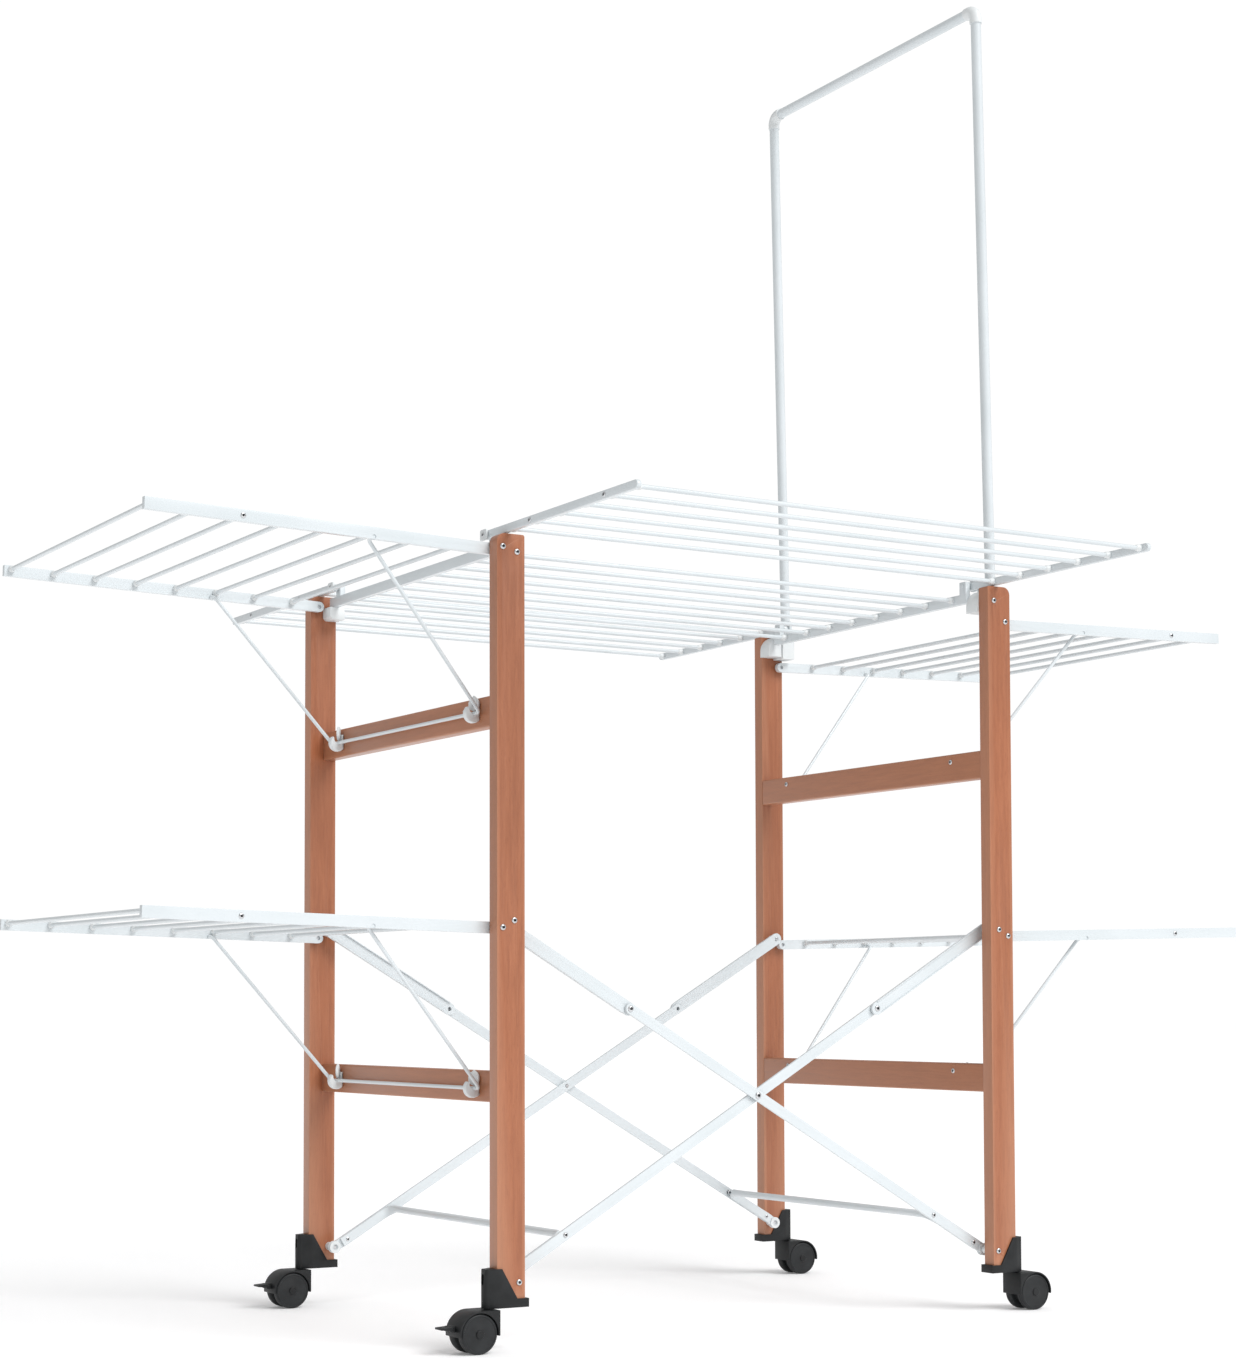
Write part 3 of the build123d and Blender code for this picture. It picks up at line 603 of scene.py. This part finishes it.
def link_flanges():
    """The turned-up edges that make the upper brace links pressed channels."""
    for side, s in SIDES.items():
        low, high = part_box(f"brace_links_{side}")
        top = joint_spot(f"upper_links_{side}_pivot")
        far_x = s * (min(abs(low[0]), abs(high[0])) + LINK_WIDTH / 2)
        drop = (high[2] - low[2]) - LINK_WIDTH
        run = Vector((far_x, 0, top.z - drop)) - top
        along = run.normalized()
        across = Vector((-along.z, 0, along.x))
        face = high[1] if side == "right" else high[1] - LINK_THICK
        bm = bmesh.new()
        for f in FACES.values():
            for way in (-1, 1):
                corners = []
                for t in (FLANGE_END, run.length - FLANGE_END):
                    for offset in (way * FLANGE_INNER, way * FLANGE_OUTER):
                        for y in (face, face + FLANGE_RISE[side]):
                            spot = top + along * t + across * offset
                            corners.append(bm.verts.new((spot.x, f * y, spot.z)))
                for quad in BOX_FACES:
                    bm.faces.new([corners[k] for k in quad])
        bmesh.ops.bevel(bm, geom=list(bm.edges), offset=FLANGE_ROUND, segments=2, profile=0.5,
                        affect="EDGES")
        finish_piece(f"link_flanges_{side}", bm, ENAMEL, f"upper_links_{side}")


# ------------------------------------------------------------------ rod ends
def collar_profile(length=0.0085, radius=0.0047):
    """A little moulded sleeve: domed against the rod, flat against the bar."""
    return [(0, 0), (0, radius * 0.93), (length * 0.06, radius), (length * 0.55, radius * 0.98),
            (length * 0.8, radius * 0.88), (length * 0.94, radius * 0.76), (length, radius * 0.66),
            (length, 0)]


def rod_centres(node):
    """Middle points of a node's rods, found from its separate solids."""
    bm = bmesh.new()
    bm.from_mesh(frame["nodes"][node].data)
    bmesh.ops.remove_doubles(bm, verts=bm.verts, dist=WELD)
    seen, centres = set(), []
    for start in bm.verts:
        if start.index in seen:
            continue
        stack, island = [start], []
        seen.add(start.index)
        while stack:
            vert = stack.pop()
            island.append(vert.co.copy())
            for edge in vert.link_edges:
                other = edge.other_vert(vert)
                if other.index not in seen:
                    seen.add(other.index)
                    stack.append(other)
        low = [min(p[k] for p in island) for k in range(3)]
        high = [max(p[k] for p in island) for k in range(3)]
        centres.append(Vector([(a + b) / 2 for a, b in zip(low, high)]))
    bm.free()
    return centres


def collars(name, node, axis):
    """Sleeves at both ends of every rod of a node."""
    low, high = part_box(node)
    bm = bmesh.new()
    for centre in rod_centres(node):
        for way in (-1, 1):
            spot = centre.copy()
            spot[axis] = high[axis] if way > 0 else low[axis]
            direction = Vector((0, 0, 0))
            direction[axis] = -way
            lathe(bm, collar_profile(), spot, direction, 20)
    finish_piece(name, bm, WHITE, BODY_OF[node])


def rod_ends():
    """Sleeves on the rods of the wings, the flaps and the centre grid."""
    for key in WINGS:
        collars(f"rod_collars_wing_{key}", f"wing_rods_{key}", 1)
    for face in FACES:
        collars(f"rod_collars_flap_{face}", f"flap_rods_{face}", 0)
    collars("rod_collars_grid", "grid_rods", 0)


TUBE_RADIUS = 0.0075
COLLAR_Z, COLLAR_LENGTH, COLLAR_RADIUS, COLLAR_FIT = 1.0355, 0.007, 0.0087, 0.0001


def tube_collars():
    """Collars where the hanger's two uprights enter their sockets."""
    bm = bmesh.new()
    low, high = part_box("hanger_tubes")
    axis = Vector(JOINTS["hanger_lift"]["axis"])
    foot_x = high[0] - TUBE_RADIUS
    section = hollow_ring(0, COLLAR_LENGTH, COLLAR_RADIUS, TUBE_RADIUS + COLLAR_FIT)
    for f in FACES.values():
        y = f * (high[1] - TUBE_RADIUS)
        foot = Vector((foot_x, y, low[2])) + axis * (COLLAR_Z - low[2])
        lathe_ring(bm, section, foot, axis)
    finish_piece("hanger_collars", bm, WHITE, "hanger")


# ------------------------------------------------------------------ casters and bars
WHEEL_WIDTH = 0.012
AXLE_CAP_RADIUS, AXLE_CAP_INSET, AXLE_CAP_PROUD, AXLE_CAP_ROUND = 0.0056, 0.0012, 0.0016, 0.0012
POCKET_X, POCKET_Z = 0.431, 0.0915
WING_SCREW_RUN, WING_TILT = 0.346, 1.5
FLAP_SCREW_RUNS = (0.117, 0.297)
HINGE_CAP_HALF_Y, HINGE_CAP_HALF_Z, HINGE_CAP_CORNER = 0.0085, 0.0072, 0.0028
HINGE_CAP_DEPTH, HINGE_CAP_ROUND, HINGE_CAP_GAP = 0.0029, 0.0007, 0.0003


def wheel_section(width, radius):
    """One wheel's outline as a closed ring: grooved tread, round shoulder, flat side with a rim."""
    return [(0, 0.0031), (0, radius * 0.9), (width * 0.06, radius * 0.96), (width * 0.2, radius),
            (width * 0.42, radius), (width * 0.46, radius * 0.975), (width * 0.5, radius),
            (width * 0.76, radius), (width * 0.9, radius * 0.975), (width * 0.98, radius * 0.93),
            (width, radius * 0.89), (width * 0.99, radius * 0.865), (width * 0.945, radius * 0.85),
            (width * 0.955, radius * 0.3), (width * 0.98, radius * 0.27), (width * 0.98, 0.0031)]


def casters():
    """Wheels with a tread groove and rimmed sides, axle caps and bracket screws."""
    for side, s in SIDES.items():
        for face, f in FACES.items():
            axle = joint_spot(f"wheels_{face}_{side}_spin")
            low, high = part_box(f"caster_wheels_{face}_{side}")
            radius = (high[2] - low[2]) / 2
            half = (high[1] - low[1]) / 2
            cap = rounded(half - AXLE_CAP_INSET, half + AXLE_CAP_PROUD, AXLE_CAP_RADIUS, AXLE_CAP_ROUND)
            wheels, caps = bmesh.new(), bmesh.new()
            for way in (-1, 1):
                start = axle + Vector((0, way * (half - WHEEL_WIDTH), 0))
                lathe_ring(wheels, wheel_section(WHEEL_WIDTH, radius), start, (0, way, 0), 64)
                lathe(caps, cap, axle, (0, way, 0), 28)
            finish_piece(f"wheels_{face}_{side}_turned", wheels, TREAD, f"wheels_{face}_{side}",
                         [f"caster_wheels_{face}_{side}"])
            finish_piece(f"axle_caps_{face}_{side}", caps, BLACK, f"caster_{face}_{side}")
            heads, recess_shades = bmesh.new(), bmesh.new()
            pocket = (s * POCKET_X, joint_spot(f"caster_{face}_{side}_swivel").y, POCKET_Z)
            screw(heads, recess_shades, "bracket", pocket, (s, 0, 0))
            screw_pieces(f"bracket_screw_{face}_{side}", heads, recess_shades, f"{side}_frame")


def wing_bar_screws():
    """Small screws on the outer faces of the wing bars."""
    tilt = math.radians(WING_TILT)
    for key in WINGS:
        hinge = joint_spot(f"wing_{key}_hinge")
        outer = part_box(f"wing_bars_{key}")[1][1]
        s = -1 if key.endswith("left") else 1
        x = hinge.x + s * WING_SCREW_RUN * math.cos(tilt)
        z = hinge.z + WING_SCREW_RUN * math.sin(tilt)
        heads, recess_shades = bmesh.new(), bmesh.new()
        for f in FACES.values():
            screw(heads, recess_shades, "wing_bar", (x, f * outer, z), (0, f, 0))
        screw_pieces(f"bar_screws_wing_{key}", heads, recess_shades, f"wing_{key}")


def flap_bar_screws():
    """Small screws on the outer faces of the flap bars, and the caps on the flaps' hinges."""
    caps, cap_heads, cap_recess_shades = bmesh.new(), bmesh.new(), bmesh.new()
    outline = rounded_rectangle(HINGE_CAP_HALF_Y, HINGE_CAP_HALF_Z, HINGE_CAP_CORNER)
    for face, f in FACES.items():
        hinge = joint_spot(f"{face}_flap_hinge")
        low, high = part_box(f"flap_bars_{face}")
        heads, recess_shades = bmesh.new(), bmesh.new()
        for edge, s in ((low[0], -1), (high[0], 1)):
            for run in FLAP_SCREW_RUNS:
                screw(heads, recess_shades, "flap_bar", (edge, hinge.y + f * run, hinge.z), (s, 0, 0))
        screw_pieces(f"bar_screws_flap_{face}", heads, recess_shades, f"{face}_flap")
        outer = low[0] - HINGE_CAP_GAP
        slab(caps, [(hinge.y + y, hinge.z + z) for y, z in outline],
             lambda u, v, depth: Vector((outer - depth, u, v)), HINGE_CAP_DEPTH, HINGE_CAP_ROUND)
        screw(cap_heads, cap_recess_shades, "hinge_cap", (outer - HINGE_CAP_DEPTH, hinge.y, hinge.z), (-1, 0, 0))
    finish_piece("flap_hinge_caps", caps, WHITE, "centre_grid")
    screw_pieces("hinge_cap_screws", cap_heads, cap_recess_shades, "centre_grid")


# ------------------------------------------------------------------ stay hooks
WIRE_RADIUS = 0.0025
HOOK_Y = 0.206
HOOK_WIDTH, HOOK_BACK, HOOK_ROUND = 0.0095, 0.0032, 0.0019
LEAF_TURN, LEAF_OUT, LEAF_THICK, LEAF_ROUND = 35, 0.0062, 0.0042, 0.0013
# heights above the wire of a leaf's tip and of its screw
LEAF_TOPS = {"usual": (0.0235, 0.0112), "upper_right": (0.0142, 0.0082)}


def rounded_rectangle(half_u, half_v, radius, steps=4):
    """Outline points of a rectangle with round corners."""
    points = []
    for corner in range(4):
        u = (half_u - radius) * (1 if corner in (0, 3) else -1)
        v = (half_v - radius) * (1 if corner in (0, 1) else -1)
        for k in range(steps + 1):
            a = math.pi / 2 * (corner + k / steps)
            points.append((u + radius * math.cos(a), v + radius * math.sin(a)))
    return points


def slab(bm, outline, place, depth, edge):
    """A flat-faced body from an outline, through place(u, v, depth), with rounded rims."""
    low = [bm.verts.new(place(u, v, 0)) for u, v in outline]
    high = [bm.verts.new(place(u, v, depth)) for u, v in outline]
    faces = [bm.faces.new(low), bm.faces.new(high[::-1])]
    count = len(outline)
    for k in range(count):
        bm.faces.new((low[k], high[k], high[(k + 1) % count], low[(k + 1) % count]))
    rims = [e for face in faces for e in face.edges]
    bmesh.ops.bevel(bm, geom=rims, offset=edge, segments=3, profile=0.5, affect="EDGES")


def arc(centre, radius, start, end, steps):
    """Points round a centre from one angle to another, in degrees."""
    points = []
    for k in range(steps + 1):
        a = math.radians(start + (end - start) * k / steps)
        points.append((centre[0] + radius * math.cos(a), centre[1] + radius * math.sin(a)))
    return points


def hook_outline():
    """Side view of a hook, out from the rail and up from the wire: a crescent under it and a back strip."""
    outer = arc((0.009, -0.0005), 0.012, -138, 49, 16)
    inner = arc((0.009, 0.0056), 0.0084, 19, -133, 14)
    return outer + inner + [(HOOK_BACK, 0.003), (HOOK_BACK, 0.012), (0, 0.012), (0, -0.0084)]


def leaf_outline(high, half_width=0.0078, low=0.003, steps=12):
    """A leaf: widest below its middle and pointed at the top."""
    sides = []
    for way in (1, -1):
        run = []
        for k in range(steps + 1):
            t = k / steps
            width = half_width * math.sin(math.pi * t ** 0.75) ** 0.75 if 0 < t < 1 else 0.0
            run.append((way * width, low + (high - low) * t))
        sides.append(run)
    return sides[0] + sides[1][-2:0:-1]


def hooks():
    """Moulded hooks: a crescent that holds the wire, and above it a turned leaf with the hook's screw."""
    for side, s in SIDES.items():
        bm, heads, recess_shades = bmesh.new(), bmesh.new(), bmesh.new()
        rail_low, rail_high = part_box(f"rail_upper_{side}")
        face_x, inner_x = (rail_low[0], rail_high[0]) if s < 0 else (rail_high[0], rail_low[0])
        for level in ("upper", "lower"):
            wire_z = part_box(f"stay_{level}_{side}")[0][2] + WIRE_RADIUS
            for f in FACES.values():
                turn = Matrix.Rotation(math.radians(LEAF_TURN * f * s), 3, "Z")
                base = Vector((face_x + s * LEAF_OUT, f * HOOK_Y, wire_z))
                out = turn @ Vector((s, 0, 0))
                top, screw_up = LEAF_TOPS.get(f"{level}_{side}", LEAF_TOPS["usual"])

                def on_rail(u, v, depth):
                    return Vector((face_x + s * u, f * HOOK_Y + depth - HOOK_WIDTH / 2, wire_z + v))

                def on_leaf(u, v, depth):
                    return base + turn @ Vector((s * (depth - LEAF_THICK / 2), u, v))

                slab(bm, hook_outline(), on_rail, HOOK_WIDTH, HOOK_ROUND)
                slab(bm, leaf_outline(top), on_leaf, LEAF_THICK, LEAF_ROUND)
                leaf_face = base + out * LEAF_THICK / 2 + Vector((0, 0, screw_up))
                screw(heads, recess_shades, "hook", leaf_face, out)
                screw(heads, recess_shades, "hook_end", (inner_x, f * HOOK_Y, wire_z + screw_up), (-s, 0, 0))
        finish_piece(f"stay_hooks_{side}_moulded", bm, WHITE, f"{side}_frame",
                     [f"stay_hooks_{side}"])
        screw_pieces(f"hook_screws_{side}", heads, recess_shades, f"{side}_frame")


# ------------------------------------------------------------------ setting
AMBIENT, BACKDROP = 0.53, 1.02    # the world's strength as light, and as the camera sees it
SUN_STRENGTH, SUN_ANGLE, SUN_WAY = 2.4, 38, (-0.3, 0.85, -0.85)
FLOOR_RADIUS = 40


def setting():
    """Pale floor, even white surroundings and soft studio light."""
    bm = bmesh.new()
    bmesh.ops.create_circle(bm, cap_ends=True, radius=FLOOR_RADIUS, segments=96)
    mesh = bpy.data.meshes.new("floor")
    bm.to_mesh(mesh)
    bm.free()
    mesh.materials.append(floor_paint())
    floor = bpy.data.objects.new("floor", mesh)
    bpy.context.scene.collection.objects.link(floor)
    world = bpy.data.worlds.new("studio")
    bpy.context.scene.world = world
    world.use_nodes = True
    tree = world.node_tree
    background = tree.nodes["Background"]
    background.inputs["Color"].default_value = (1, 1, 1, 1)
    path = tree.nodes.new("ShaderNodeLightPath")
    level = tree.nodes.new("ShaderNodeMapRange")
    level.inputs["To Min"].default_value = AMBIENT
    level.inputs["To Max"].default_value = BACKDROP
    tree.links.new(path.outputs["Is Camera Ray"], level.inputs["Value"])
    tree.links.new(level.outputs["Result"], background.inputs["Strength"])
    sun = bpy.data.lights.new("soft_sun", "SUN")
    sun.energy = SUN_STRENGTH
    sun.angle = math.radians(SUN_ANGLE)
    lamp = bpy.data.objects.new("soft_sun", sun)
    lamp.rotation_euler = Vector(SUN_WAY).to_track_quat("-Z", "Y").to_euler()
    bpy.context.scene.collection.objects.link(lamp)
    bpy.context.scene.view_settings.view_transform = "Standard"


make_camera()
carry_over()
fasteners()
brace_fittings()
crossbars()
link_flanges()
hooks()
rod_ends()
tube_collars()
casters()
wing_bar_screws()
flap_bar_screws()
setting()
